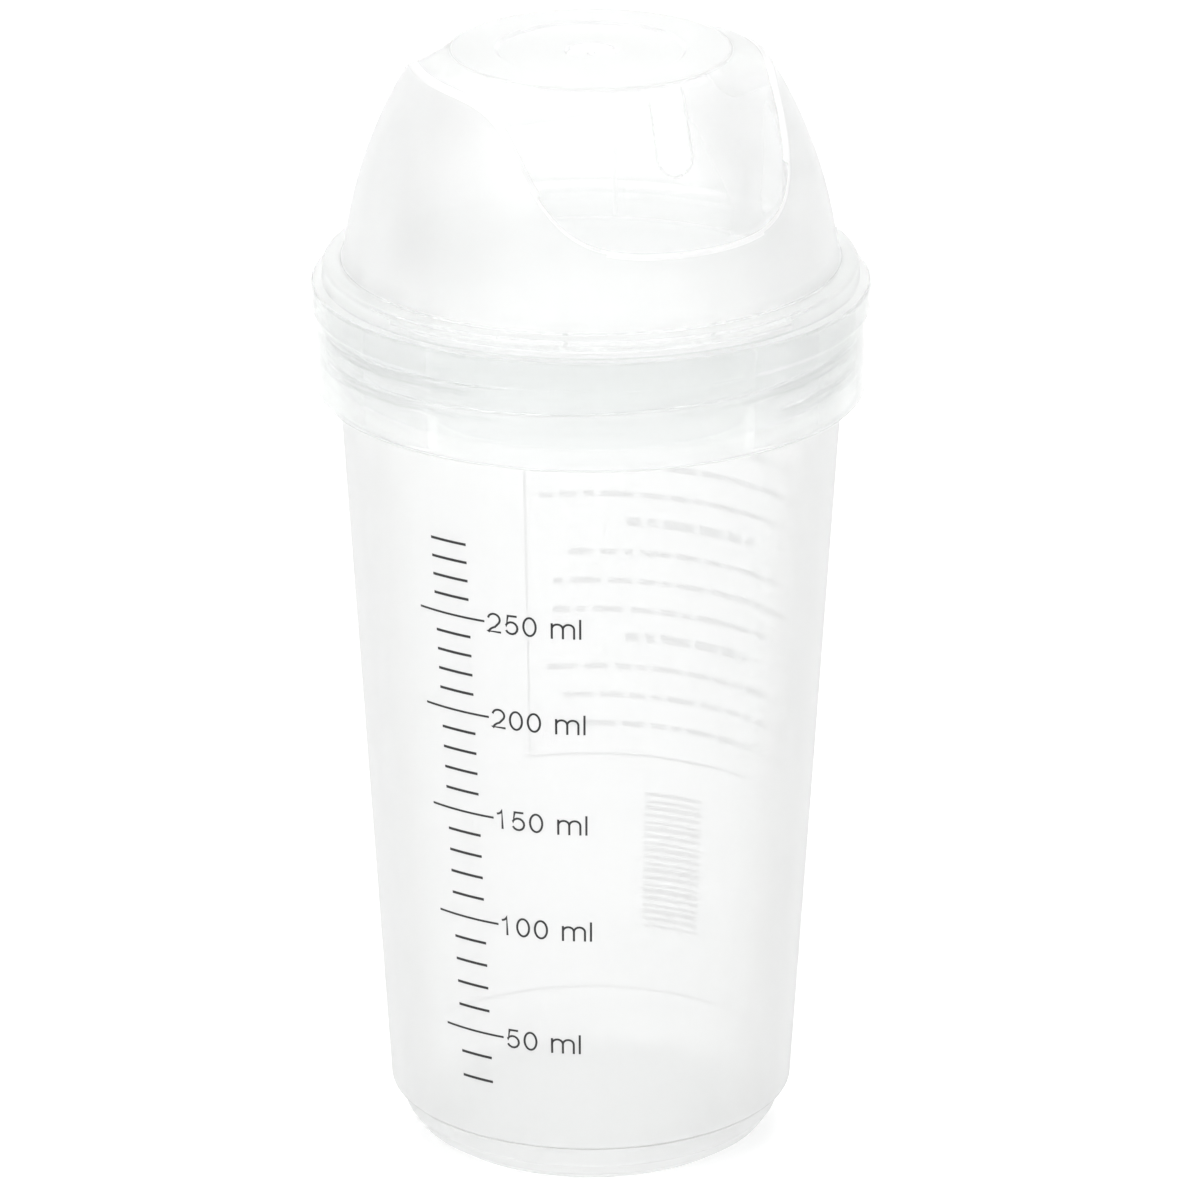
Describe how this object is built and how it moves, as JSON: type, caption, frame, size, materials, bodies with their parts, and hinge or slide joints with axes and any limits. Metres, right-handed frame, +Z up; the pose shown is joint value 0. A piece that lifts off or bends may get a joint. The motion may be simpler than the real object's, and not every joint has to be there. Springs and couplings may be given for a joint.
{
  "type": "protein shaker bottle",
  "caption": "Tapered translucent shaker beaker with a measuring scale, a domed screw lid with two scooped finger grips, a seal ring and a clip-in mixing grid.",
  "frame": {"origin": "centre of the foot, on the surface that the beaker stands on", "axes": "+Z up along the axis of the beaker, the lid's two finger grips face +Y and -Y, and the measuring scale is between -X and -Y"},
  "size_m": [0.08, 0.08, 0.1648],
  "materials": {
    "cup_plastic": "frosted translucent natural polypropylene",
    "lid_plastic": "clear natural polypropylene, glossy, with lightly frosted sides",
    "seal_silicone": "translucent silicone, satin",
    "grid_plastic": "translucent natural polypropylene, satin",
    "scale_ink": "black screen-printed ink, satin",
    "info_ink": "thin dark grey screen-printed ink, satin"
  },
  "bodies": {
    "beaker": {"cup": "cup_plastic", "measuring_scale": "scale_ink", "info_print": "info_ink"},
    "mixer": {"mixing_grid": "grid_plastic", "seal_ring": "seal_silicone"},
    "lid": {"lid": "lid_plastic"}
  },
  "joints": [
    {"name": "lid_lift", "type": "slide", "parent": "beaker", "child": "mixer", "axis": [0, 0, 1], "range_m": [0, 0.01801]},
    {"name": "lid_turn", "type": "hinge", "parent": "mixer", "child": "lid", "pos_m": [0, 0, 0.125], "axis": [0, 0, 1], "range_deg": [0, 900]}
  ],
  "couplings": [
    {"joint": "lid_lift", "follows": "lid_turn", "m_per_rad": 0.0011459}
  ]
}
